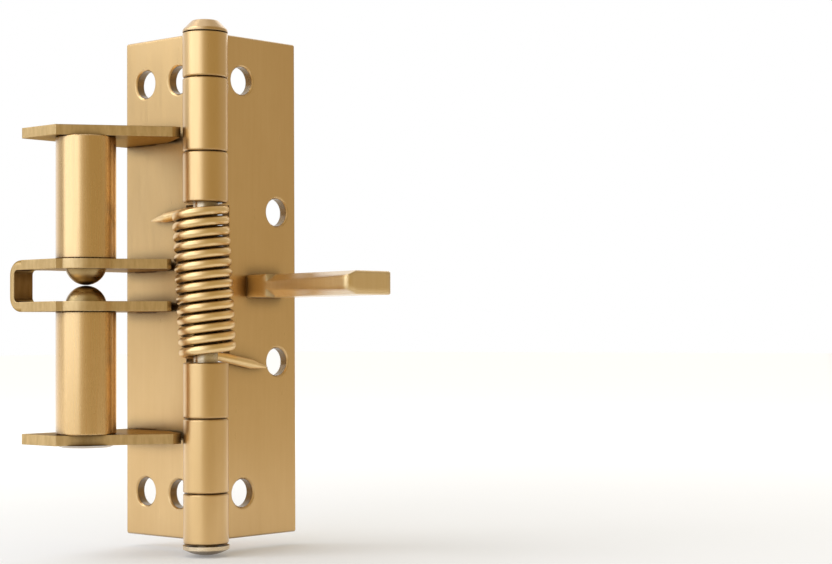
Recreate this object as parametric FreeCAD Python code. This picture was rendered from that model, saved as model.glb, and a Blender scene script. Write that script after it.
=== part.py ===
import FreeCAD, Part
import math
import os
from FreeCAD import Vector

# Spring loaded door hinge with a ball catch, in millimetres.
# The pin stands along Z. Each leaf has its own measures: s runs from the pin axis out along
# the leaf, d stands out of the leaf's front side, and z is up. The frame leaf carries the
# ball catch on its front side. The door leaf carries the cam arm that enters the catch.
# The origin is the middle of the frame leaf's four screw holes, on its back face.

# Sheet and leaves
leaf_height = 125.0
leaf_width = 33.5
leaf_t = 2.5
leaf_corner_r = 0.5
edge_chamfer = 0.3
rest_turn = 90.0

# Barrel: the rolled knuckles on the pin
barrel_d = 11.0
pin_clearance = 0.05
knuckle_gap = 0.16
knuckle_chamfer = 0.3
roll_seam = 0.25
end_knuckle_h = 12.2
frame_knuckle_h = 18.0
upper_inner_knuckle_h = 12.3
lower_inner_knuckle_h = 13.5
top_knuckle_drop = 1.1
barrel_relief = 0.15
spring_window_s = 10.5

# Pin with its lower head, and the upper cap, which is as wide as the barrel
pin_head_d = 11.3
pin_head_h = 2.4
pin_head_lip = 0.9
pin_head_gap = 0.4
pin_tip_in_cap = 1.3
cap_h = 2.9
cap_lip = 0.6
cap_top_d = 6.4
cap_round = 0.7
cap_gap = 0.1
cap_fit = 0.03

# Screw holes
screw_hole_d = 7.0
screw_chamfer = 0.4
screw_from_end = 11.0
frame_screw_from_rim = 7.5
frame_screw_off_middle = 2.325
door_screw_inner_s = 15.0
door_screw_from_rim = 6.5
door_outer_screw_z = 19.0

# Torsion spring
spring_od = 14.0
spring_wire = 2.35
spring_pitch = 2.52
spring_top_gap = 1.4
spring_bottom_gap = 2.1
spring_lean = 2.8
spring_aside = 0.4
lean_from = 47.6
leg_bend_s = 9.4
leg_tip_from_rim = 11.3
leg_point = 5.5
leg_knob = 1.08
leg_seat = 0.05
upper_leg_drop = 2.0
lower_leg_drop = 3.7

# Ball catch: plates, ball guide and tubes on the frame leaf. The plates' near edge rises
# past the barrel and runs by the tubes at a set distance.
catch_past_tube = 9.2
catch_edge_off_tube = 5.36
catch_edge_rise = 1.45
catch_foot_from_rim = 15.5
plate_t = 2.5
plate_from_end = 24.1
plate_end_s = 4.0
plate_relief = 0.5
lobe_margin = 0.6
lobe_neck_r = 3.0
guide_t = 2.4
guide_gap = 7.8
guide_end_s = 4.8
guide_web_past_rim = 2.9
guide_strap = 5.6
guide_bend_r = 1.2
guide_neck_r = 2.5
guide_relief = 1.3
guide_edge_r = 1.3
tenon_from_rim = 7.7
tenon_w = 8.0
tenon_fit = 0.04

tube_from_rim = 13.4
tube_d = 20.6
tube_od = 14.5
tube_chamfer = 0.25
ball_dia = 10.0
ball_gap = 0.1
ball_fit = 0.12
ball_lip = 0.35
ball_lip_fit = 0.04

# Plugs that close the tubes. The lower one has a head below its plate.
plug_head_d = 14.4
plug_head_top_d = 11.6
plug_head_h = 0.6
plug_neck_d = 7.8
plug_inner_h = 2.0
plug_fit = 0.05

# Ball springs
ball_spring_od = 9.4
ball_spring_wire = 1.3
ball_spring_turns = 7.0
ball_spring_seat = 0.1

# Cam arm on the door leaf. Its edges lie in or out from the line of the tubes.
arm_t = 5.6
arm_reach_d = 40.0
arm_lead_root_in = 3.9
arm_lead_knee_in = 6.2
arm_lead_tip_in = 12.0
arm_trail_tip_out = 3.1
arm_trail_root_out = 8.4
arm_knee_d = 6.5
arm_bevel_run = 3.2
arm_bevel_root = 1.85
arm_bevel_tip = 1.15
arm_corner_r = 0.9
arm_edge_chamfer = 0.3
arm_tenon_out = 1.9

# Sizes that follow from the ones above
barrel_r = barrel_d / 2
bore_r = barrel_r - leaf_t
pin_r = bore_r - pin_clearance
half_height = leaf_height / 2
front_d = leaf_t - barrel_r
back_d = -barrel_r
top_knuckle_z = half_height - top_knuckle_drop
outer_seam_z = half_height - end_knuckle_h
inner_seam_z = outer_seam_z - frame_knuckle_h
upper_knuckle_end_z = inner_seam_z - upper_inner_knuckle_h
lower_knuckle_end_z = lower_inner_knuckle_h - inner_seam_z
screw_z = half_height - screw_from_end
notch_s = barrel_r + barrel_relief
roll_root_s = notch_s + leaf_t
frame_screw_outer_s = leaf_width - frame_screw_from_rim
frame_screw_inner_s = (notch_s + frame_screw_outer_s) / 2 - frame_screw_off_middle
door_screw_outer_s = leaf_width - door_screw_from_rim
guide_half = guide_gap / 2
guide_outer_z = guide_half + guide_t
plate_outer_z = half_height - plate_from_end
plate_inner_z = plate_outer_z - plate_t
catch_foot_s = leaf_width - catch_foot_from_rim
guide_web_s = leaf_width + guide_web_past_rim
tenon_s = leaf_width - tenon_from_rim
tube_s = leaf_width - tube_from_rim
tube_r = tube_od / 2
lobe_r = tube_r + lobe_margin
catch_d = tube_d + catch_past_tube
catch_end_d = barrel_r + catch_edge_rise
tube_along = tube_s - plate_end_s
tube_out = tube_d - catch_end_d
tube_reach = math.hypot(tube_along, tube_out)
catch_edge_lean = math.atan2(tube_along, tube_out) - math.asin(catch_edge_off_tube / tube_reach)
ball_r = ball_dia / 2
tube_bore_r = ball_r + ball_fit
ball_z = ball_r + ball_gap / 2
coil_r = (spring_od - spring_wire) / 2
spring_top_z = upper_knuckle_end_z - spring_top_gap
spring_bottom_z = lower_knuckle_end_z + spring_bottom_gap
upper_leg_z = spring_top_z - upper_leg_drop
lower_leg_z = spring_bottom_z - lower_leg_drop
leg_tip_s = leaf_width - leg_tip_from_rim
arm_tenon_s = tube_s + arm_tenon_out

FRAME = -1
DOOR = 1
UP = Vector(0, 0, 1)
AXIS = Vector(0, 0, 0)
BEYOND = 2.0


def point(side, s, d, z=0.0):
    """A place in one leaf's own measures, with the door leaf not yet turned to its rest."""
    return Vector(side * s, -d, z)


def prism(points, z0, z1):
    """The closed outline through the points, from z0 to z1."""
    flat = [Vector(p.x, p.y, z0) for p in points]
    return Part.Face(Part.makePolygon(flat + flat[:1])).extrude(Vector(0, 0, z1 - z0))


def block(side, s_span, d_span, z_span):
    """A straight block between two values of each measure."""
    (s0, s1), (d0, d1) = s_span, d_span
    corners = [point(side, s0, d0), point(side, s1, d0), point(side, s1, d1), point(side, s0, d1)]
    return prism(corners, *z_span)


def rod(centre, radius, z0, z1):
    """An upright round bar."""
    return Part.makeCylinder(radius, z1 - z0, Vector(centre.x, centre.y, z0))


def turned(profile, axis_at=AXIS):
    """The outline through (radius, z) pairs, turned about an upright axis."""
    points = [axis_at + Vector(r, 0, z) for r, z in profile]
    return Part.Face(Part.makePolygon(points + points[:1])).revolve(axis_at, UP, 360)


def upright_edges(shape, places, tolerance=0.05):
    """The shape's upright straight edges that stand at the given places."""
    found = []
    for edge in shape.Edges:
        low, high = (edge.valueAt(u) for u in (edge.FirstParameter, edge.LastParameter))
        if math.hypot(low.x - high.x, low.y - high.y) > tolerance:
            continue
        if any(math.hypot(low.x - p.x, low.y - p.y) < tolerance for p in places):
            found.append(edge)
    return found


def mirrored(shape):
    """The same piece below mid-height."""
    return shape.mirror(AXIS, UP)


# Leaves


def rolled_band(side, z0, z1):
    """One sheet with its edge rolled round the pin, ending at a seam beside the leaf."""
    seam_d = front_d + roll_seam
    outer_end = math.sqrt(barrel_r**2 - seam_d**2)
    inner_end = math.sqrt(bore_r**2 - seam_d**2)
    across = math.sqrt(0.5)
    p = [
        point(side, roll_root_s, back_d, z0),
        point(side, 0, back_d, z0),
        point(side, -barrel_r * across, barrel_r * across, z0),
        point(side, outer_end, seam_d, z0),
        point(side, inner_end, seam_d, z0),
        point(side, -bore_r * across, bore_r * across, z0),
        point(side, 0, front_d, z0),
        point(side, roll_root_s, front_d, z0),
    ]
    edges = [
        Part.LineSegment(p[0], p[1]).toShape(),
        Part.Arc(p[1], p[2], p[3]).toShape(),
        Part.LineSegment(p[3], p[4]).toShape(),
        Part.Arc(p[4], p[5], p[6]).toShape(),
        Part.LineSegment(p[6], p[7]).toShape(),
        Part.LineSegment(p[7], p[0]).toShape(),
    ]
    return Part.Face(Part.Wire(edges)).extrude(Vector(0, 0, z1 - z0))


def knuckle_edge_ring(z, into):
    """What is cut from a knuckle's end to break its edge. into is the way to the knuckle's middle."""
    c = knuckle_chamfer
    return turned([(barrel_r - c, z), (barrel_r + c, z), (barrel_r + c, z + 2 * into * c)])


def leaf(side, knuckles, holes):
    """A leaf with its rolled knuckles, cut back beside the other leaf's knuckles and the spring."""
    span_d = (back_d, front_d)
    window = block(side, (0, spring_window_s), span_d, (lower_knuckle_end_z, upper_knuckle_end_z))
    sheet = block(side, (notch_s, leaf_width), span_d, (-half_height, half_height)).cut(window)
    corners = [edge for edge in sheet.Edges if is_leaf_corner(side, edge)]
    sheet = sheet.makeFillet(leaf_corner_r, corners)
    sheet = sheet.makeChamfer(edge_chamfer, [edge for edge in sheet.Edges if on_leaf_rim(side, edge)])
    rolls = [rolled_band(side, low, high) for high, low in knuckles]
    body = sheet.multiFuse(rolls).removeSplitter()
    cuts = [knuckle_edge_ring(high, -1) for high, low in knuckles]
    cuts += [knuckle_edge_ring(low, 1) for high, low in knuckles]
    for s, z in holes:
        start, front = point(side, s, back_d - BEYOND, z), point(side, s, front_d, z)
        hole_r, c = screw_hole_d / 2, screw_chamfer
        cuts.append(Part.makeCylinder(hole_r, leaf_t + 2 * BEYOND, start, Vector(0, -1, 0)))
        cuts.append(Part.makeCone(hole_r + 2 * c, hole_r, 2 * c, front + Vector(0, -c, 0), Vector(0, 1, 0)))
    return body.cut(cuts)


def is_leaf_corner(side, edge):
    """True for the short edges through the sheet at the leaf's two outer corners."""
    middle = edge.CenterOfMass
    at_side = side * middle.x > leaf_width - edge_chamfer
    at_end = abs(middle.z) > half_height - edge_chamfer
    return at_side and at_end and edge.Length < leaf_t + edge_chamfer


def on_leaf_rim(side, edge):
    """True for the edges of the sheet's front and back faces along its three free sides."""
    low, high = (edge.valueAt(u) for u in (edge.FirstParameter, edge.LastParameter))
    middle = edge.CenterOfMass
    if abs(low.y - high.y) > edge_chamfer:
        return False
    near_side = side * middle.x > leaf_width - leaf_corner_r
    near_end = abs(middle.z) > half_height - leaf_corner_r
    return near_side or near_end


def frame_leaf():
    knuckles = [
        (outer_seam_z - knuckle_gap / 2, inner_seam_z + knuckle_gap / 2),
        (-inner_seam_z - knuckle_gap / 2, -outer_seam_z + knuckle_gap / 2),
    ]
    holes = [(s, z) for s in (frame_screw_inner_s, frame_screw_outer_s) for z in (screw_z, -screw_z)]
    body = leaf(FRAME, knuckles, holes)
    return body.cut([tenon(FRAME, tenon_s, z, tenon_fit) for z in catch_levels()])


def door_leaf():
    knuckles = [
        (top_knuckle_z, outer_seam_z + knuckle_gap / 2),
        (inner_seam_z - knuckle_gap / 2, upper_knuckle_end_z),
        (lower_knuckle_end_z, -inner_seam_z + knuckle_gap / 2),
        (-outer_seam_z - knuckle_gap / 2, -half_height),
    ]
    holes = [(door_screw_inner_s, screw_z), (door_screw_inner_s, -screw_z)]
    holes += [(door_screw_outer_s, door_outer_screw_z), (door_screw_outer_s, -door_outer_screw_z)]
    arm_level = (-arm_t / 2, arm_t / 2)
    return leaf(DOOR, knuckles, holes).cut(tenon(DOOR, arm_tenon_s, arm_level, tenon_fit))


def tenon(side, s, level, fit=0.0):
    """The tongue of a plate that passes through a slot in its leaf, or with a fit the slot itself."""
    half = tenon_w / 2 + fit
    depth = (back_d - BEYOND, front_d + BEYOND) if fit else (back_d, front_d)
    return block(side, (s - half, s + half), depth, (level[0] - fit, level[1] + fit))


def catch_levels():
    """The heights of the four plates that stand on the frame leaf."""
    upper = [(plate_inner_z, plate_outer_z), (guide_half, guide_outer_z)]
    return upper + [(-high, -low) for low, high in upper]


# Pin


def hinge_pin():
    """The pin with a shallow domed head below the barrel."""
    head_top = -half_height - pin_head_gap
    head_r = pin_head_d / 2
    lip_z, dome_h = head_top - pin_head_lip, pin_head_h - pin_head_lip
    shank = rod(AXIS, pin_r, lip_z, top_knuckle_z + cap_gap + pin_tip_in_cap)
    lip = rod(AXIS, head_r, lip_z, head_top)
    sphere_r = (head_r**2 + dome_h**2) / (2 * dome_h)
    ball = Part.makeSphere(sphere_r, Vector(0, 0, lip_z - dome_h + sphere_r))
    dome = ball.common(rod(AXIS, head_r + BEYOND, lip_z - dome_h, lip_z))
    return shank.multiFuse([lip, dome]).removeSplitter()


def pin_cap():
    """The cap pressed on the pin's tip: a short rim, sloping in to a flat top."""
    bottom = top_knuckle_z + cap_gap
    rim_z, top = bottom + cap_lip, bottom + cap_h
    body = turned([(0, bottom), (barrel_r, bottom), (barrel_r, rim_z), (cap_top_d / 2, top), (0, top)])
    rings = [edge for edge in body.Edges if edge.Closed and edge.CenterOfMass.z > bottom + cap_lip / 2]
    body = body.makeFillet(cap_round, rings)
    return body.cut(rod(AXIS, pin_r + cap_fit, bottom - BEYOND, bottom + pin_tip_in_cap + cap_fit))


# Springs


def coil(radius, wire, pitch, turns, start_angle, z):
    """A round wire wound upwards about the Z axis, anticlockwise from above."""
    path = Part.makeHelix(pitch, pitch * turns, radius)
    ring = Part.makeCircle(wire / 2, Vector(radius, 0, 0), Vector(0, 1, 0))
    wound = Part.Wire(path).makePipeShell([Part.Wire(ring)], True, True)
    wound.rotate(AXIS, UP, start_angle)
    wound.translate(Vector(0, 0, z))
    return wound


def torsion_spring():
    """The wound wire on the pin. It leans in its play, and has a leg on the front of each leaf."""
    seat_d = front_d + spring_wire / 2 + leg_seat
    bend = point(FRAME, leg_bend_s, seat_d)
    leave = math.degrees(math.atan2(bend.y, bend.x) - math.acos(coil_r / bend.Length))
    top_angle, bottom_angle = leave, 270 - leave
    whole_turns = round((spring_top_z - spring_bottom_z) / spring_pitch)
    turns = whole_turns + (top_angle - bottom_angle) / 360
    pitch = (spring_top_z - spring_bottom_z) / turns
    wound = coil(coil_r, spring_wire, pitch, turns, bottom_angle, spring_bottom_z)
    middle = Vector(0, 0, (spring_top_z + spring_bottom_z) / 2)
    sight = math.radians(lean_from)
    across = Vector(math.sin(sight), -math.cos(sight), 0)
    aside = Vector(-math.cos(sight), -math.sin(sight), 0) * spring_aside
    wound.rotate(middle, across, spring_lean)
    wound.translate(aside)
    tilt = FreeCAD.Rotation(across, spring_lean)
    ends = []
    for angle, z in ((top_angle, spring_top_z), (bottom_angle, spring_bottom_z)):
        turn = math.radians(angle)
        place = Vector(coil_r * math.cos(turn), coil_r * math.sin(turn), z)
        ends.append(middle + aside + tilt.multVec(place - middle))
    upper = leg(ends[0], point(FRAME, leg_bend_s, seat_d), point(FRAME, leg_tip_s, seat_d), upper_leg_z)
    lower_bend, lower_tip = Vector(seat_d, leg_bend_s, 0), Vector(seat_d, leg_tip_s, 0)
    lower = leg(ends[1], lower_bend, lower_tip, lower_leg_z)
    return wound.multiFuse(upper + lower)


def leg(start, bend, tip, tip_z):
    """A spring leg from the coil's end over a bend to its ground point, as overlapping pieces."""
    first, second = (bend - Vector(start.x, start.y, 0)).Length, (tip - bend).Length
    bend_z = start.z + (tip_z - start.z) * first / (first + second)
    bend, tip = Vector(bend.x, bend.y, bend_z), Vector(tip.x, tip.y, tip_z)
    r = spring_wire / 2
    along = (tip - bend).normalize()
    shoulder = tip - along * leg_point
    knob = r * leg_knob
    pieces = [Part.makeSphere(knob, start), Part.makeSphere(knob, bend)]
    pieces.append(Part.makeCylinder(r, (bend - start).Length, start, bend - start))
    pieces.append(Part.makeCylinder(r, (shoulder - bend).Length, bend, along))
    pieces.append(Part.makeCone(r, r / 6, leg_point, shoulder, along))
    return pieces


def upper_ball_spring():
    """The pushing spring between the ball and the plug at the tube's end."""
    r = (ball_spring_od - ball_spring_wire) / 2
    on_ball = math.sqrt((ball_r + ball_spring_wire / 2) ** 2 - r**2)
    low = ball_z + on_ball + ball_spring_seat
    high = plate_inner_z - plug_inner_h - ball_spring_wire / 2 - ball_spring_seat
    wound = coil(r, ball_spring_wire, (high - low) / ball_spring_turns, ball_spring_turns, 0, low)
    wound.translate(point(FRAME, tube_s, tube_d))
    return wound


# Ball catch


def catch_plan(end_s, relief_r, z0, z1):
    """The plan shape that the catch plates share, ending in a hollow round the barrel."""
    end_d = catch_end_d + (end_s - plate_end_s) / math.tan(catch_edge_lean)
    corner_s = plate_end_s + (catch_d - catch_end_d) * math.tan(catch_edge_lean)
    hollow_d = math.sqrt(relief_r**2 - end_s**2)
    places = [
        (leaf_width, front_d),
        (leaf_width, catch_d),
        (corner_s, catch_d),
        (end_s, end_d),
        (end_s, hollow_d),
        (catch_foot_s, front_d),
    ]
    sheet = prism([point(FRAME, s, d) for s, d in places], z0, z1)
    return sheet.cut(rod(AXIS, relief_r, z0 - BEYOND, z1 + BEYOND))


def neck_place():
    """Where the guide's round lobe meets its straight near edge, on the barrel's side."""
    touch = math.sqrt(tube_reach**2 - catch_edge_off_tube**2)
    reach = touch - math.sqrt(lobe_r**2 - catch_edge_off_tube**2)
    out = catch_end_d + reach * math.cos(catch_edge_lean)
    return point(FRAME, plate_end_s + reach * math.sin(catch_edge_lean), out)


def upper_catch_plate():
    sheet = catch_plan(plate_end_s, barrel_r + plate_relief, plate_inner_z, plate_outer_z)
    sheet = sheet.makeFillet(leaf_corner_r, upright_edges(sheet, [point(FRAME, leaf_width, catch_d)]))
    level = (plate_inner_z, plate_outer_z)
    sheet = sheet.fuse(tenon(FRAME, tenon_s, level)).removeSplitter()
    neck = rod(point(FRAME, tube_s, tube_d), plug_neck_d / 2 + plug_fit, *level)
    return sheet.cut(neck)


def ball_guide():
    """The strip bent to a U: two legs on the frame leaf, and the web that stops the arm."""
    leg_sheet = catch_plan(guide_end_s, spring_od / 2 + guide_relief, guide_half, guide_outer_z)
    lobe = rod(point(FRAME, tube_s, tube_d), lobe_r, guide_half, guide_outer_z)
    leg_sheet = leg_sheet.fuse(lobe).removeSplitter()
    leg_sheet = leg_sheet.makeFillet(lobe_neck_r, upright_edges(leg_sheet, [neck_place()]))
    leg_sheet = leg_sheet.fuse(tenon(FRAME, tenon_s, (guide_half, guide_outer_z)))
    strap = guide_strap_bend()
    body = leg_sheet.multiFuse([mirrored(leg_sheet), strap]).removeSplitter()
    inner = [point(FRAME, leaf_width, catch_d - guide_strap)]
    body = body.makeFillet(guide_neck_r, upright_edges(body, inner))
    lip_top = guide_half + ball_lip
    lip_r = math.sqrt(ball_r**2 - (ball_z - lip_top) ** 2) + ball_lip_fit
    at = point(FRAME, tube_s, tube_d)
    bore = rod(at, tube_bore_r, lip_top, guide_outer_z)
    mouth = rod(at, lip_r, -lip_top, lip_top)
    return body.cut([bore, mirrored(bore), mouth])


def guide_strap_bend():
    """The outer strap of the guide with its two bends, as one profile."""
    inner_r, outer_r = guide_bend_r, guide_bend_r + guide_t
    far = guide_web_s + guide_t

    def half_turn(s, z, r):
        side, slant = r * (1 - math.sqrt(0.5)), r
        return [(s - slant, z), (s - side, z - side), (s, z - slant)]

    outer = half_turn(far, guide_outer_z, outer_r)
    inner = half_turn(guide_web_s, guide_half, inner_r)
    d = catch_d - guide_strap

    def at(place, sign=1):
        return point(FRAME, place[0], d, sign * place[1])

    start_out, start_in = (leaf_width - leaf_t, guide_outer_z), (leaf_width - leaf_t, guide_half)
    edges = [
        Part.LineSegment(at(start_out), at(outer[0])).toShape(),
        Part.Arc(*[at(p) for p in outer]).toShape(),
        Part.LineSegment(at(outer[2]), at(outer[2], -1)).toShape(),
        Part.Arc(*[at(p, -1) for p in reversed(outer)]).toShape(),
        Part.LineSegment(at(outer[0], -1), at(start_out, -1)).toShape(),
        Part.LineSegment(at(start_out, -1), at(start_in, -1)).toShape(),
        Part.LineSegment(at(start_in, -1), at(inner[0], -1)).toShape(),
        Part.Arc(*[at(p, -1) for p in inner]).toShape(),
        Part.LineSegment(at(inner[2], -1), at(inner[2])).toShape(),
        Part.Arc(*[at(p) for p in reversed(inner)]).toShape(),
        Part.LineSegment(at(inner[0]), at(start_in)).toShape(),
        Part.LineSegment(at(start_in), at(start_out)).toShape(),
    ]
    strap = Part.Face(Part.Wire(edges)).extrude(Vector(0, -guide_strap, 0))
    return strap.makeFillet(guide_edge_r, upright_edges(strap, [point(FRAME, far, catch_d)]))


def upper_tube():
    low, high, c = guide_outer_z, plate_inner_z, tube_chamfer
    profile = [
        (tube_bore_r, low),
        (tube_r - c, low),
        (tube_r, low + c),
        (tube_r, high - c),
        (tube_r - c, high),
        (tube_bore_r, high),
    ]
    return turned(profile, point(FRAME, tube_s, tube_d))


def upper_tube_plug(headed=False):
    """The plug in the tube's end, its neck flush in the plate or with a flat head outside."""
    neck_r = plug_neck_d / 2
    profile = [
        (0, plate_inner_z - plug_inner_h),
        (tube_bore_r - plug_fit, plate_inner_z - plug_inner_h),
        (tube_bore_r - plug_fit, plate_inner_z),
        (neck_r, plate_inner_z),
        (neck_r, plate_outer_z),
    ]
    if headed:
        profile.append((plug_head_d / 2, plate_outer_z))
        profile.append((plug_head_top_d / 2, plate_outer_z + plug_head_h))
        profile.append((0, plate_outer_z + plug_head_h))
    else:
        profile.append((0, plate_outer_z))
    return turned(profile, point(FRAME, tube_s, tube_d))


def upper_ball():
    return Part.makeSphere(ball_r, point(FRAME, tube_s, tube_d, ball_z))


# Cam arm


def cam_arm():
    """The thick arm on the door leaf. Its leading edge is bevelled on both sides to part the balls."""
    half = arm_t / 2
    places = [
        (tube_s - arm_lead_root_in, front_d),
        (tube_s - arm_lead_knee_in, arm_knee_d),
        (tube_s - arm_lead_tip_in, arm_reach_d),
        (tube_s + arm_trail_tip_out, arm_reach_d),
        (tube_s + arm_trail_root_out, front_d),
    ]
    body = prism([point(DOOR, s, d) for s, d in places], -half, half)
    tips = [point(DOOR, *places[2]), point(DOOR, *places[3])]
    body = body.makeFillet(arm_corner_r, upright_edges(body, tips))
    rim = []
    for edge in body.Edges:
        middle = edge.CenterOfMass
        if abs(abs(middle.z) - half) < arm_edge_chamfer and middle.y < -front_d - arm_edge_chamfer:
            rim.append(edge)
    body = body.makeChamfer(arm_edge_chamfer, rim)
    upper = arm_bevel_cutter()
    body = body.cut([upper, mirrored(upper)])
    return body.fuse(tenon(DOOR, arm_tenon_s, (-half, half))).removeSplitter()


def arm_bevel_cutter():
    """What is cut from the upper side of the leading edge, less deep towards the tip."""
    top = arm_t / 2

    def section(s, d, depth):
        run = arm_bevel_run
        corners = [(s + run, top), (s - run, top - 2 * depth), (s - run, top + BEYOND)]
        corners.append((s + run, top + BEYOND))
        points = [point(DOOR, a, d, z) for a, z in corners]
        return Part.makePolygon(points + points[:1])

    length = arm_reach_d - arm_knee_d
    slope = (arm_lead_knee_in - arm_lead_tip_in) / length
    fade = (arm_bevel_tip - arm_bevel_root) / length
    knee_s, past = tube_s - arm_lead_knee_in, length + BEYOND
    near = section(knee_s, arm_knee_d, arm_bevel_root)
    far = section(knee_s + slope * past, arm_knee_d + past, arm_bevel_root + fade * past)
    return Part.makeLoft([near, far], True, True)


# The whole part


def frame_pieces():
    upper = {
        "catch_plate": upper_catch_plate(),
        "tube": upper_tube(),
        "tube_plug": upper_tube_plug(),
        "ball": upper_ball(),
        "ball_spring": upper_ball_spring(),
    }
    pieces = {"frame_leaf": frame_leaf(), "ball_guide": ball_guide(), "hinge_pin": hinge_pin()}
    pieces["pin_cap"] = pin_cap()
    pieces["torsion_spring"] = torsion_spring()
    for name, shape in upper.items():
        pieces["upper_" + name] = shape
        pieces["lower_" + name] = mirrored(shape)
    pieces["lower_tube_plug"] = mirrored(upper_tube_plug(headed=True))
    return pieces


def door_pieces():
    pieces = {"door_leaf": door_leaf(), "cam_arm": cam_arm()}
    for shape in pieces.values():
        shape.rotate(AXIS, UP, rest_turn)
    return pieces


def main():
    os.makedirs("parts", exist_ok=True)
    middle_s = (frame_screw_inner_s + frame_screw_outer_s) / 2
    origin = point(FRAME, middle_s, back_d)
    for name, shape in {**frame_pieces(), **door_pieces()}.items():
        shape.translate(-origin)
        shape.exportStep("parts/" + name + ".step")
        print(name, len(shape.Solids), "solid,", round(shape.Volume), "cubic mm")


main()
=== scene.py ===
import math

import bmesh
import bpy
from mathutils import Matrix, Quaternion, Vector

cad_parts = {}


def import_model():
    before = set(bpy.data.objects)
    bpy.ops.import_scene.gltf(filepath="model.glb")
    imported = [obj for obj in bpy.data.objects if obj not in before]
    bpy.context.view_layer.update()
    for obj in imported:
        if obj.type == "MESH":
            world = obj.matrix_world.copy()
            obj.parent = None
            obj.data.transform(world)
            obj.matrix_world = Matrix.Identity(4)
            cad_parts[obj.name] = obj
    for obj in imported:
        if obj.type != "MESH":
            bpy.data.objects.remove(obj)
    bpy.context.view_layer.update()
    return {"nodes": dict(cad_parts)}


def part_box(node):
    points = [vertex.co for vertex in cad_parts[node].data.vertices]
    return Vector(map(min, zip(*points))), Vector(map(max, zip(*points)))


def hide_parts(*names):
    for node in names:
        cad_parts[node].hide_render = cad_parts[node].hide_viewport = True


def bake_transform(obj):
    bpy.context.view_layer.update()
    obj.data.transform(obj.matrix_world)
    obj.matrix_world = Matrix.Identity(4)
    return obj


# Looks of the spring loaded hinge. The scene is in metres, in the CAD's own frame. The wires are
# drawn in millimetres from the pin, and bearings are in degrees from -Y, positive towards +X.

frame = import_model()
nodes = frame["nodes"]

MM = 0.001
AXIS = Vector((19.75, -5.5, 0)) * MM


# Node helpers

FULL = (0.0, 1.0)
NONE = (1.0, 0.0)


def new_material(name):
    material = bpy.data.materials.new(name)
    material.use_nodes = True
    tree = material.node_tree
    tree.nodes.clear()
    out = tree.nodes.new("ShaderNodeOutputMaterial")
    shader = tree.nodes.new("ShaderNodeBsdfPrincipled")
    tree.links.new(shader.outputs[0], out.inputs[0])
    return material, tree, shader


def put(tree, socket, value):
    """Links a socket, or sets a plain value."""
    if isinstance(value, bpy.types.NodeSocket):
        tree.links.new(value, socket)
    else:
        socket.default_value = value


def math_node(tree, kind, a, b=0.0):
    node = tree.nodes.new("ShaderNodeMath")
    node.operation = kind
    put(tree, node.inputs[0], a)
    put(tree, node.inputs[1], b)
    return node.outputs[0]


def vector_node(tree, kind, a, b=None):
    node = tree.nodes.new("ShaderNodeVectorMath")
    node.operation = kind
    put(tree, node.inputs[0], a)
    if b is not None:
        put(tree, node.inputs[1], b)
    return node.outputs


def part_of(tree, vector, axis):
    """One of a vector's three parts."""
    split = tree.nodes.new("ShaderNodeSeparateXYZ")
    tree.links.new(vector, split.inputs[0])
    return split.outputs[axis]


def size_of(tree, vector, axis):
    """How large one of a vector's three parts is, whichever way it points."""
    return math_node(tree, "ABSOLUTE", part_of(tree, vector, axis))


def place(tree, stretch, output="Object"):
    """The object's own coordinates, or its UV ones, stretched for a pattern that runs one way."""
    coordinates = tree.nodes.new("ShaderNodeTexCoord")
    mapping = tree.nodes.new("ShaderNodeMapping")
    mapping.inputs["Scale"].default_value = stretch
    tree.links.new(coordinates.outputs[output], mapping.inputs["Vector"])
    return mapping.outputs[0]


def noise(tree, vector, pattern):
    """A noise of the given scale, detail and roughness."""
    node = tree.nodes.new("ShaderNodeTexNoise")
    tree.links.new(vector, node.inputs["Vector"])
    for socket, number in zip(("Scale", "Detail", "Roughness"), pattern):
        node.inputs[socket].default_value = number
    return node.outputs[0]


def spread(tree, value, band, ends=FULL):
    """Carries a value from a band to the range between two ends, without going past them."""
    node = tree.nodes.new("ShaderNodeMapRange")
    put(tree, node.inputs[0], value)
    for socket, number in zip(node.inputs[1:5], (*band, *ends)):
        socket.default_value = number
    return node.outputs[0]


def tint(tree, factor, first, second, kind="MIX"):
    node = tree.nodes.new("ShaderNodeMix")
    node.data_type = "RGBA"
    node.blend_type = kind
    put(tree, node.inputs[0], factor)
    for socket, colour in zip(node.inputs[6:8], (first, second)):
        linked = isinstance(colour, bpy.types.NodeSocket)
        put(tree, socket, colour if linked else (*colour, 1.0))
    return node.outputs[2]


def bump(tree, height, distance, strength):
    node = tree.nodes.new("ShaderNodeBump")
    node.inputs["Strength"].default_value = strength
    node.inputs["Distance"].default_value = distance
    tree.links.new(height, node.inputs["Height"])
    return node


# Patterns: how each one is stretched, then the scale, detail and roughness of its noise

EVEN = (1.0, 1.0, 1.0)
GRAIN_WAY, GRAIN = (1.0, 1.0, 0.05), (900.0, 5.0, 0.65)
CLOUD_WAY, CLOUDS = (1.0, 1.0, 0.5), (42.0, 4.0, 0.6)
STROKE_WAY, STROKES = (1.0, 1.0, 0.25), (900.0, 4.0, 0.6)
LINE_WAY, LINES = (0.9, 26.0, 1.0), (6.0, 4.0, 0.6)
RING_WAY, RINGS = (0.15, 0.15, 1.0), (2200.0, 4.0, 0.6)
PORES = (2600.0, 2.0, 0.6)
WIRE_CLOUDS = (160.0, 3.0, 0.55)
STEEL_CLOUDS = (240.0, 4.0, 0.6)

# Bands: the values between which a tone or a mask goes from one end to the other

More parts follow.
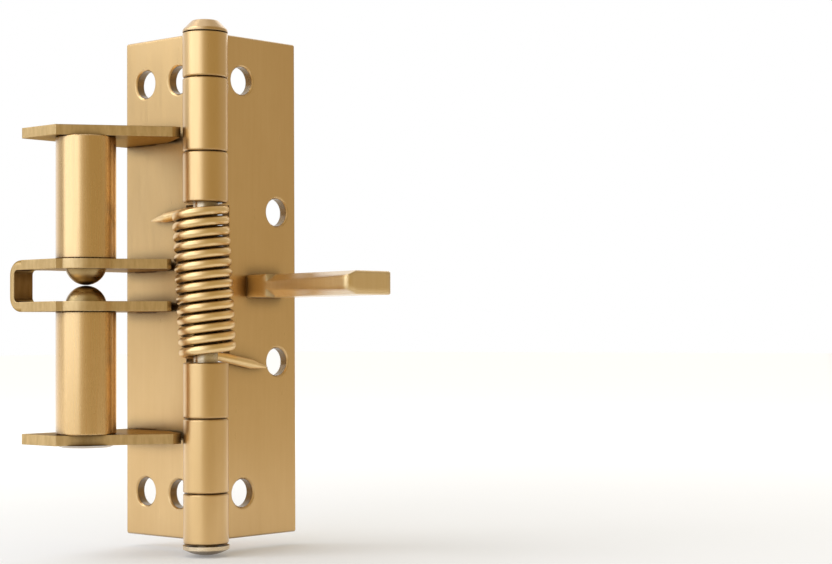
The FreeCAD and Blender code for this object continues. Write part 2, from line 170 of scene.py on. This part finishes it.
BRASS_CLOUD_BAND = (0.35, 0.68)
CLOUD_BAND = (0.35, 0.7)
GRAIN_TONE_BAND, GRAIN_FINISH_BAND = (0.3, 0.7), (0.25, 0.75)
STROKE_BAND = (0.35, 0.65)
LINE_TONE_BAND = (0.45, 0.75)
FINISH_BAND = (0.3, 0.7)
EDGE_BAND = (0.80, 0.985)
HOLLOW_BAND = (0.42, 0.92)
LEVEL_BAND = (0.3, 0.6)
LEAF_FACE_BAND = (0.35, 0.7)
PAST_KNUCKLE_BAND = (6.8 * MM, 7.8 * MM)
COVERED_BAND = (16.0 * MM, 17.8 * MM)

# Strengths of the patterns and masks

GRAIN_TONE, LINE_TONE = (0.0, 0.22), (0.0, 0.25)
CLOUD_FADE = 0.45
# How strong the painted shade is on a leaf's cut edges and on the covered pin
LEAF_EDGE_SHADE_TONE, COVERED_TONE = 0.9, 0.95
# How dark the painted shade in the hollows gets, and below how far it reaches
BRASS_HOLLOW, STEEL_HOLLOW, ARM_HOLLOW = 0.85, 0.75, 0.3
BRASS_REACH, WIRE_REACH, STEEL_REACH = 4.5 * MM, 1.2 * MM, 2.2 * MM
EDGE_SAMPLES, HOLLOW_SAMPLES = 6, 8
BRASS_BUMP = (0.012 * MM, 0.3)
WIRE_BUMP = (0.03 * MM, 0.5)
STEEL_BUMP = (0.015 * MM, 0.5)

# Roughness: how far the patterns carry it down and up, what cut metal adds, and the wire's and
# the lacquer's own

GRAIN_FINISH, RING_FINISH = (-0.05, 0.07), (-0.05, 0.08)
SHEARED_FINISH, RAW_FINISH = 0.12, 0.12
WIRE_FINISH = (0.28, 0.38)
BRASS_COAT_FINISH = 0.22
WIRE_COAT, WIRE_COAT_FINISH = 0.3, 0.3

# Colours: each metal's own one and the deeper one of its clouds, then what lies on it: the
# sheared edges' strokes, and painted shade for a leaf's cut edges, the rims, the hollows and the
# covered pin. The plates' colour is darker as painted shade, the arm's lighter as a painted
# highlight.

BRASS, BRASS_DEEP = (0.78, 0.525, 0.24), (0.68, 0.43, 0.17)
CAP, CAP_DEEP = (0.68, 0.46, 0.23), (0.58, 0.38, 0.17)
TUBE, TUBE_DEEP = (0.775, 0.51, 0.225), (0.72, 0.465, 0.19)
# The plates' brass is darker than the leaves', as painted shade for the shade under them, on both
# faces
PLATE, PLATE_DEEP, PLATE_GRAZING = (0.55, 0.38, 0.18), (0.46, 0.30, 0.12), (0.42, 0.30, 0.15)
# The arm's brass is lighter, as a painted highlight over the whole arm
ARM = (0.88, 0.66, 0.35)
BALL, BALL_DEEP = (0.50, 0.36, 0.17), (0.42, 0.29, 0.13)
STEEL, STEEL_DEEP = (0.64, 0.57, 0.48), (0.52, 0.45, 0.37)
PIN, PIN_DEEP = (0.84, 0.70, 0.50), (0.72, 0.58, 0.39)
WIRE, WIRE_DEEP, WIRE_LINES = (0.94, 0.69, 0.36), (0.86, 0.60, 0.28), (0.62, 0.42, 0.18)
STROKE_BROWN, STROKE_PALE = (0.62, 0.43, 0.20), (0.76, 0.55, 0.28)
# Painted shade for a leaf's cut edges and hole walls
LEAF_EDGE_SHADE = (0.20, 0.135, 0.065)
# Painted shade: the dark rim along the sharp edges, standing in for a dark reflection there
PAINTED_DARK_RIM = (0.34, 0.26, 0.16)
# Painted shade laid in the hollows of the brass and of the steel
BRASS_HOLLOW_SHADE = (0.09, 0.05, 0.016)
STEEL_HOLLOW_SHADE = (0.15, 0.085, 0.028)
# Painted shade on the pin where the coil runs round it
PIN_PAINTED_SHADE = (0.10, 0.055, 0.018)
WHITE = (1.0, 1.0, 1.0)


# Materials


def edge_mask(tree, radius):
    """1 along the sharp edges, where a dark rim is painted as shade, and the normal rounded off
    there.
    """
    bevel = tree.nodes.new("ShaderNodeBevel")
    bevel.samples = EDGE_SAMPLES
    bevel.inputs["Radius"].default_value = radius
    geometry = tree.nodes.new("ShaderNodeNewGeometry")
    dot = vector_node(tree, "DOT_PRODUCT", bevel.outputs[0], geometry.outputs["Normal"])
    return spread(tree, dot["Value"], EDGE_BAND, NONE), bevel.outputs[0]


def painted_hollow_shade(tree, colour, reach, depth, dark):
    """Painted shade: darkens what lies deep, hole walls, seams and inner corners, where shade
    falls.
    """
    hollow = tree.nodes.new("ShaderNodeAmbientOcclusion")
    hollow.samples = HOLLOW_SAMPLES
    hollow.inputs["Distance"].default_value = reach
    deep = spread(tree, hollow.outputs["AO"], HOLLOW_BAND, (depth, 0.0))
    return tint(tree, deep, colour, dark)


def cut_edges(tree, across):
    """1 on a leaf's cut edges and hole walls, 0 on its faces and on its rolled knuckles. across
    is the axis through the leaf."""
    coordinates = tree.nodes.new("ShaderNodeTexCoord").outputs
    side = spread(tree, size_of(tree, coordinates["Normal"], across), LEAF_FACE_BAND, NONE)
    spot = vector_node(tree, "SUBTRACT", coordinates["Object"], AXIS)[0]
    level = vector_node(tree, "MULTIPLY", spot, (1.0, 1.0, 0.0))[0]
    away = vector_node(tree, "LENGTH", level)["Value"]
    return math_node(tree, "MULTIPLY", side, spread(tree, away, PAST_KNUCKLE_BAND))


def satin_brass(
    name,
    base=BRASS,
    deep=BRASS_DEEP,
    roughness=0.31,
    sheared=0.0,
    rim=0.35 * MM,
    depth=BRASS_HOLLOW,
    across=None,
    rim_shade=0.3,
    coat=0.7,
    grazing=WHITE,
):
    """Brass-coloured satin finish: a fine upright grain, soft clouds in its tone, and a painted
    dark rim along the edges.

    sheared is how much rougher and browner a level plate's cut edges are, rim how far the shading
    rounds the edges off, depth how dark the painted shade in the hollows gets and worn how strong
    the painted dark rim along the edges is. across is the axis through a leaf, whose cut edges and
    hole walls get painted shade. coat is the lacquer, and grazing the metal's colour seen at a low
    angle."""
    material, tree, shader = new_material(name)
    grain = noise(tree, place(tree, GRAIN_WAY), GRAIN)
    clouds = noise(tree, place(tree, CLOUD_WAY), CLOUDS)
    pores = noise(tree, place(tree, EVEN), PORES)
    edge, rounded = edge_mask(tree, rim)
    colour = tint(tree, spread(tree, clouds, BRASS_CLOUD_BAND), base, deep)
    colour = tint(tree, CLOUD_FADE, colour, base)
    colour = tint(tree, spread(tree, grain, GRAIN_TONE_BAND, GRAIN_TONE), colour, deep)
    finish = spread(tree, grain, GRAIN_FINISH_BAND, [roughness + more for more in GRAIN_FINISH])
    if sheared:
        normal = tree.nodes.new("ShaderNodeNewGeometry").outputs["Normal"]
        cut = spread(tree, size_of(tree, normal, 2), LEVEL_BAND, (sheared, 0.0))
        strokes = noise(tree, place(tree, STROKE_WAY), STROKES)
        brown = tint(tree, spread(tree, strokes, STROKE_BAND), STROKE_BROWN, STROKE_PALE)
        colour = tint(tree, cut, colour, brown)
        rougher = math_node(tree, "MULTIPLY", cut, SHEARED_FINISH)
        finish = math_node(tree, "ADD", finish, rougher)
    if across is not None:
        # Painted shade on a leaf's cut edges and hole walls, which are rougher too
        leaf_cut = cut_edges(tree, across)
        colour = tint(tree, math_node(tree, "MULTIPLY", leaf_cut, LEAF_EDGE_SHADE_TONE), colour, LEAF_EDGE_SHADE)
        rougher = math_node(tree, "MULTIPLY", leaf_cut, RAW_FINISH)
        finish = math_node(tree, "ADD", finish, rougher)
    # Painted shade: a dark rim along the edges
    colour = tint(tree, math_node(tree, "MULTIPLY", edge, rim_shade), colour, PAINTED_DARK_RIM)
    # Painted shade in the hollows
    colour = painted_hollow_shade(tree, colour, BRASS_REACH, depth, BRASS_HOLLOW_SHADE)
    put(tree, shader.inputs["Base Color"], colour)
    put(tree, shader.inputs["Roughness"], finish)
    shader.inputs["Metallic"].default_value = 1.0
    shader.inputs["Specular Tint"].default_value = (*grazing, 1.0)
    shader.inputs["Coat Weight"].default_value = coat
    shader.inputs["Coat Roughness"].default_value = BRASS_COAT_FINISH
    fine = bump(tree, math_node(tree, "ADD", grain, pores), *BRASS_BUMP)
    tree.links.new(rounded, fine.inputs["Normal"])
    tree.links.new(fine.outputs[0], shader.inputs["Normal"])
    return material


def spring_wire():
    """Plated drawn wire. The drawing lines run along the wire, which is the mesh's u."""
    material, tree, shader = new_material("spring_wire")
    lines = noise(tree, place(tree, LINE_WAY, "UV"), LINES)
    clouds = noise(tree, place(tree, EVEN), WIRE_CLOUDS)
    colour = tint(tree, spread(tree, clouds, CLOUD_BAND), WIRE, WIRE_DEEP)
    colour = tint(tree, spread(tree, lines, LINE_TONE_BAND, LINE_TONE), colour, WIRE_LINES)
    # Painted shade in the gaps between the turns
    colour = painted_hollow_shade(tree, colour, WIRE_REACH, BRASS_HOLLOW, BRASS_HOLLOW_SHADE)
    put(tree, shader.inputs["Base Color"], colour)
    put(tree, shader.inputs["Roughness"], spread(tree, lines, FINISH_BAND, WIRE_FINISH))
    shader.inputs["Metallic"].default_value = 1.0
    shader.inputs["Coat Weight"].default_value = WIRE_COAT
    shader.inputs["Coat Roughness"].default_value = WIRE_COAT_FINISH
    drawn = bump(tree, lines, *WIRE_BUMP)
    tree.links.new(drawn.outputs[0], shader.inputs["Normal"])
    return material


def turned_steel(name, base, deep, roughness, covered=False):
    """Bright metal with the rings that turning or pressing leaves, and painted shade in its
    hollows. A covered piece gets painted shade where the torsion spring runs round it."""
    material, tree, shader = new_material(name)
    rings = noise(tree, place(tree, RING_WAY), RINGS)
    clouds = noise(tree, place(tree, EVEN), STEEL_CLOUDS)
    colour = tint(tree, spread(tree, clouds, CLOUD_BAND), base, deep)
    # Painted shade in the hollows
    colour = painted_hollow_shade(tree, colour, STEEL_REACH, STEEL_HOLLOW, STEEL_HOLLOW_SHADE)
    # Painted shade where the coil covers the pin
    if covered:
        height = size_of(tree, place(tree, EVEN), 2)
        under = spread(tree, height, COVERED_BAND, (COVERED_TONE, 0.0))
        colour = tint(tree, under, colour, PIN_PAINTED_SHADE)
    put(tree, shader.inputs["Base Color"], colour)
    finish = spread(tree, rings, FINISH_BAND, [roughness + more for more in RING_FINISH])
    put(tree, shader.inputs["Roughness"], finish)
    shader.inputs["Metallic"].default_value = 1.0
    worked = bump(tree, rings, *STEEL_BUMP)
    tree.links.new(worked.outputs[0], shader.inputs["Normal"])
    return material


def dress(names, material):
    for name in names:
        nodes[name].data.materials.clear()
        nodes[name].data.materials.append(material)


# Leaves: a wider rounding and a strong painted dark rim along the edges
LEAF = {"rim": 0.5 * MM, "rim_shade": 0.7}
dress(["frame_leaf"], satin_brass("frame_leaf_brass", across=1, **LEAF))
dress(["door_leaf"], satin_brass("door_leaf_brass", across=0, **LEAF))
dress(["pin_cap"], satin_brass("cap_brass", CAP, CAP_DEEP))
tube_brass = satin_brass("tube_brass", TUBE, TUBE_DEEP, roughness=0.26, coat=1.0)
dress(["upper_tube", "lower_tube"], tube_brass)
# Plates: sheared edges, and a darker brass as painted shade
plate_brass_painted_shade = satin_brass(
    "plate_brass_painted_shade", PLATE, PLATE_DEEP, sheared=0.8, coat=0.0, grazing=PLATE_GRAZING
)
dress(["upper_catch_plate", "lower_catch_plate", "ball_guide"], plate_brass_painted_shade)
# The arm: lighter brass as a painted highlight, weak painted shade in its hollows, no dark rim
dress(["cam_arm"], satin_brass("arm_brass_painted_highlight", ARM, rim=2.2 * MM, depth=ARM_HOLLOW, rim_shade=0.0))
ball_brass = turned_steel("ball_brass", BALL, BALL_DEEP, roughness=0.30)
dress(["upper_ball", "lower_ball"], ball_brass)
steel = turned_steel("bright_steel", STEEL, STEEL_DEEP, roughness=0.27)
pin_brass = turned_steel("pin_brass", PIN, PIN_DEEP, roughness=0.26, covered=True)
dress(["hinge_pin"], pin_brass)
dress(["upper_tube_plug", "lower_tube_plug", "upper_ball_spring", "lower_ball_spring"], steel)


# Wires: how finely they are divided, and how much of the pattern a millimetre of wire takes

STEPS_A_TURN = 44
AROUND = 20
UV_A_MM = 0.1


def tube_mesh(name, points, radii):
    """A round wire along the points, closed at its ends, with u along it and v around it."""
    mesh = bpy.data.meshes.new(name)
    built = bmesh.new()
    uv = built.loops.layers.uv.new("UVMap")
    side = Vector((0, 0, 1))
    rings = []
    run = 0.0
    lengths = []
    for i, p in enumerate(points):
        ahead = (points[min(i + 1, len(points) - 1)] - points[max(i - 1, 0)]).normalized()
        side = (side - ahead * side.dot(ahead)).normalized()
        other = ahead.cross(side)
        if i:
            run += (p - points[i - 1]).length
        lengths.append(run)
        ring = []
        for k in range(AROUND):
            turn = math.tau * k / AROUND
            offset = (side * math.cos(turn) + other * math.sin(turn)) * radii[i]
            ring.append(built.verts.new(AXIS + (p + offset) * MM))
        rings.append(ring)
    for i in range(len(rings) - 1):
        ring, following = rings[i], rings[i + 1]
        for k in range(AROUND):
            after = (k + 1) % AROUND
            face = built.faces.new([ring[k], ring[after], following[after], following[k]])
            face.smooth = True
            places = ((i, k), (i, k + 1), (i + 1, k + 1), (i + 1, k))
            for loop, (a, b) in zip(face.loops, places):
                loop[uv].uv = (lengths[a] * UV_A_MM, b / AROUND)
    built.faces.new(list(reversed(rings[0])))
    built.faces.new(rings[-1])
    bmesh.ops.recalc_face_normals(built, faces=built.faces)
    built.to_mesh(mesh)
    built.free()
    piece = bpy.data.objects.new(name, mesh)
    bpy.context.scene.collection.objects.link(piece)
    return piece


# Torsion spring: the same wire as the CAD node's, with true bends where its legs leave. S is a
# distance from the pin along a leaf, and Z a height.

WIRE_R = 1.175
COIL_R = 5.825
COIL_TURNS = 14
SEAT = -1.775
BEND_S, TIP_S = 9.4, 22.2
TOP_Z, BOTTOM_Z = 18.6, -16.7
UPPER_TIP_Z, LOWER_TIP_Z = 16.6, -20.4
LEAN = math.radians(2.8)
SIGHT = math.radians(47.6)
LEAN_AXIS = Vector((math.sin(SIGHT), -math.cos(SIGHT), 0))
ASIDE = Vector((-math.cos(SIGHT), -math.sin(SIGHT), 0)) * 0.4
LEAVE = math.radians(116.8)
BEND_STEPS, LEG_STEPS = 12, 14
BEND_IN, BEND_OUT = 0.5, 0.25
POINT_R, POINT_RUN = 0.17, 5.5  # the tip's part of the wire's radius, and how long it is ground


def coil_points():
    """The coil's centreline from its lower end to its upper one."""
    low = math.radians(270) - LEAVE
    high = LEAVE + math.radians(360 * COIL_TURNS)
    count = int((high - low) / math.tau * STEPS_A_TURN)
    middle = Vector((0, 0, (TOP_Z + BOTTOM_Z) / 2))
    lean = Quaternion(LEAN_AXIS, LEAN)
    points = []
    for i in range(count + 1):
        turn = low + (high - low) * i / count
        z = BOTTOM_Z + (TOP_Z - BOTTOM_Z) * i / count
        upright = Vector((COIL_R * math.cos(turn), COIL_R * math.sin(turn), z))
        points.append(middle + ASIDE + lean @ (upright - middle))
    return points


def leg_points(start, away, bend, tip):
    """A leg from the coil's end, round one bend, to the tip. away is the way the wire leaves."""
    first, second = (bend - start).to_2d().length, (tip - bend).to_2d().length
    bend = Vector((bend.x, bend.y, start.z + (tip.z - start.z) * first / (first + second)))
    points = []
    for i in range(1, BEND_STEPS + 1):
        t = i / BEND_STEPS
        a = start + away * (first * BEND_IN * t)
        b = bend + (tip - bend).normalized() * (first * BEND_OUT * t)
        points.append(a.lerp(b, t * t * (3 - 2 * t)))
    last = points[-1]
    for i in range(1, LEG_STEPS + 1):
        points.append(last.lerp(tip, i / LEG_STEPS))
    return points


def torsion_spring():
    coil = coil_points()
    leave_top, leave_bottom = (coil[-1] - coil[-2]).normalized(), (coil[0] - coil[1]).normalized()
    upper_bend, upper_tip = Vector((-BEND_S, -SEAT, 0)), Vector((-TIP_S, -SEAT, UPPER_TIP_Z))
    lower_bend, lower_tip = Vector((SEAT, BEND_S, 0)), Vector((SEAT, TIP_S, LOWER_TIP_Z))
    upper = leg_points(coil[-1], leave_top, upper_bend, upper_tip)
    lower = leg_points(coil[0], leave_bottom, lower_bend, lower_tip)
    points = list(reversed(lower)) + coil + upper
    radii = []
    for p in points:
        to_tip = min((p - points[0]).length, (p - points[-1]).length)
        full = min(1.0, to_tip / POINT_RUN)
        radii.append(WIRE_R * (POINT_R + (1 - POINT_R) * full))
    piece = tube_mesh("wound_spring", points, radii)
    piece.data.materials.append(spring_wire())
    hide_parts("torsion_spring")
    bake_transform(piece)


torsion_spring()


# Ball springs: the CAD nodes' helices again, drawn as round wire in each node's box

BALL_WIRE_R = 0.65
BALL_SPRING_TURNS = 7


def ball_spring(name, node):
    """A helix in the node's box, with one end on the plug and the other on the ball."""
    box_low, box_high = (Vector(corner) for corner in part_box(node))
    middle = ((box_low + box_high) / 2 - AXIS) / MM
    radius = (box_high.x - box_low.x) / 2 / MM - BALL_WIRE_R
    half = (box_high.z - box_low.z) / 2 / MM - BALL_WIRE_R
    count = BALL_SPRING_TURNS * STEPS_A_TURN
    points = []
    for i in range(count + 1):
        turn = math.tau * BALL_SPRING_TURNS * i / count
        z = half * (2 * i / count - 1)
        points.append(middle + Vector((radius * math.cos(turn), radius * math.sin(turn), z)))
    piece = tube_mesh(name, points, [BALL_WIRE_R] * len(points))
    piece.data.materials.append(steel)
    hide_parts(node)
    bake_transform(piece)


ball_spring("upper_pressed_spring", "upper_ball_spring")
ball_spring("lower_pressed_spring", "lower_ball_spring")


# Floor, world and lights. The room's walls go by bearing: white in front and at the left, with a
# narrow grey one, and beige from the right round to the back.

ROOM = (
    (-180, WHITE),
    (-85, WHITE),
    (-64, (0.55, 0.55, 0.55)),
    (-46, (0.40, 0.40, 0.40)),
    (-39, WHITE),
    (24, WHITE),
    (44, (0.60, 0.53, 0.38)),
    (66, (0.47, 0.38, 0.21)),
    (112, (0.47, 0.38, 0.21)),
    (134, (0.53, 0.46, 0.34)),
    (165, (0.55, 0.48, 0.36)),
    (180, (0.60, 0.54, 0.43)),
)
BACK_BAND = (math.radians(-176), math.radians(-156))

FLOOR_SIZE, FLOOR_Z = 8.0, -0.0656
FLOOR_SHADE = (0.74, 0.74, 0.74)
FLOOR_ROUGHNESS = 0.9
FLOOR_BEIGE = (0.50, 0.42, 0.27)
RIGHT_BEARING, RIGHT_BAND = 119.6, (0.165, 0.34)
FRONT_BEARING, FRONT_BAND = 41.8, (0.052, 0.22)
GLOW_BAND, GLOW = (0.05, 0.5), (0.17, 0.48)

# Each lamp's bearing and elevation, distance, width and height, power and colour
LAMPS = (
    ("key", -6, 5, 0.75, (0.95, 0.90), 2.9, (0.60, 0.75, 1.0)),
    ("top", -48, 26, 0.9, (0.50, 0.36), 0.9, (0.9, 0.95, 1.0)),
    ("ceiling", -44, 56, 0.9, (0.55, 0.45), 1.9, (0.95, 0.97, 1.0)),
    ("rim", 200, 25, 0.9, (0.5, 0.6), 0.4, WHITE),
)


def heading(bearing, elevation=0.0):
    """The unit vector towards a bearing and an elevation in degrees."""
    a, e = math.radians(bearing), math.radians(elevation)
    return Vector((math.sin(a) * math.cos(e), -math.cos(a) * math.cos(e), math.sin(e)))


def room(tree, vector):
    """The room's colour for a direction."""
    forward = math_node(tree, "MULTIPLY", part_of(tree, vector, 1), -1.0)
    bearing = math_node(tree, "ARCTAN2", part_of(tree, vector, 0), forward)
    ramp = tree.nodes.new("ShaderNodeValToRGB")
    put(tree, ramp.inputs[0], spread(tree, bearing, (-math.pi, math.pi)))
    stops = ramp.color_ramp.elements
    stops[0].position, stops[1].position = FULL
    for degrees, _ in ROOM[1:-1]:
        stops.new(degrees / 360 + 0.5)
    for stop, (_, colour) in zip(stops, ROOM):
        stop.color = (*colour, 1.0)
    return tint(tree, spread(tree, bearing, BACK_BAND), ROOM[-1][1], ramp.outputs[0])


def floor():
    """A pale floor, white round the hinge and beige in front and at the right. What the camera
    and the metal see of it is lifted a little, so that it is white."""
    bpy.ops.mesh.primitive_plane_add(size=FLOOR_SIZE, location=(0, 0, FLOOR_Z))
    plane = bpy.context.object
    plane.name = "floor"
    material, tree, shader = new_material("floor_white")
    spot = tree.nodes.new("ShaderNodeNewGeometry").outputs["Position"]
    rightward = vector_node(tree, "DOT_PRODUCT", spot, heading(RIGHT_BEARING))["Value"]
    frontward = vector_node(tree, "DOT_PRODUCT", spot, heading(FRONT_BEARING))["Value"]
    right = spread(tree, rightward, RIGHT_BAND)
    front = spread(tree, frontward, FRONT_BAND)
    colour = tint(tree, math_node(tree, "MAXIMUM", right, front), WHITE, FLOOR_BEIGE)
    glow = spread(tree, vector_node(tree, "LENGTH", spot)["Value"], GLOW_BAND, GLOW)
    put(tree, shader.inputs["Base Color"], tint(tree, 1.0, colour, FLOOR_SHADE, "MULTIPLY"))
    shader.inputs["Roughness"].default_value = FLOOR_ROUGHNESS
    shader.inputs["Specular IOR Level"].default_value = 0.0
    path = tree.nodes.new("ShaderNodeLightPath").outputs
    seen = math_node(tree, "ADD", path["Is Camera Ray"], path["Is Glossy Ray"])
    seen = math_node(tree, "ADD", seen, path["Is Transmission Ray"])
    seen = math_node(tree, "MINIMUM", seen, 1.0)
    lift = tree.nodes.new("ShaderNodeEmission")
    put(tree, lift.inputs["Color"], colour)
    put(tree, lift.inputs["Strength"], math_node(tree, "MULTIPLY", seen, glow))
    lit = tree.nodes.new("ShaderNodeAddShader")
    tree.links.new(shader.outputs[0], lit.inputs[0])
    tree.links.new(lift.outputs[0], lit.inputs[1])
    out = next(n for n in tree.nodes if n.type == "OUTPUT_MATERIAL")
    tree.links.new(lit.outputs[0], out.inputs[0])
    plane.data.materials.append(material)


def world():
    """The room itself. The camera and the metal see the same one."""
    made = bpy.data.worlds.new("studio")
    bpy.context.scene.world = made
    made.use_nodes = True
    tree = made.node_tree
    tree.nodes.clear()
    out = tree.nodes.new("ShaderNodeOutputWorld")
    ground = tree.nodes.new("ShaderNodeBackground")
    tree.links.new(ground.outputs[0], out.inputs[0])
    direction = tree.nodes.new("ShaderNodeTexCoord").outputs["Generated"]
    put(tree, ground.inputs["Color"], room(tree, direction))


def lamp(name, bearing, elevation, distance, size, power, colour):
    """A soft box that looks at the hinge from the given bearing."""
    light = bpy.data.lights.new(name, "AREA")
    light.shape = "RECTANGLE"
    light.size, light.size_y = size
    light.energy = power
    light.color = colour
    way = heading(bearing, elevation)
    holder = bpy.data.objects.new(name, light)
    holder.location = AXIS + way * distance
    holder.rotation_mode = "QUATERNION"
    holder.rotation_quaternion = (-way).to_track_quat("-Z", "Y")
    bpy.context.scene.collection.objects.link(holder)


floor()
world()
for row in LAMPS:
    lamp(*row)


# Camera, from a fit of the hinge's own edges to the photo's framing

SENSOR, LENS = 36.0, 81.78
CAMERA_PLACE = Vector((363.41, -313.60, -12.26)) * MM
CAMERA_TURN, CAMERA_PITCH, CAMERA_ROLL = (math.radians(a) for a in (41.77, 1.59, -0.285))
CLIP = (0.01, 20.0)


def camera():
    data = bpy.data.cameras.new("camera")
    data.sensor_width = SENSOR
    data.lens = LENS
    data.clip_start, data.clip_end = CLIP
    holder = bpy.data.objects.new("camera", data)
    bpy.context.scene.collection.objects.link(holder)
    holder.location = CAMERA_PLACE
    ahead = math.cos(CAMERA_PITCH)
    look = Vector(
        (-math.sin(CAMERA_TURN) * ahead, math.cos(CAMERA_TURN) * ahead, math.sin(CAMERA_PITCH))
    )
    roll = Quaternion((0, 0, 1), CAMERA_ROLL)
    holder.rotation_mode = "QUATERNION"
    holder.rotation_quaternion = look.to_track_quat("-Z", "Y") @ roll
    bpy.context.scene.camera = holder


camera()
bpy.context.scene.view_settings.view_transform = "Standard"
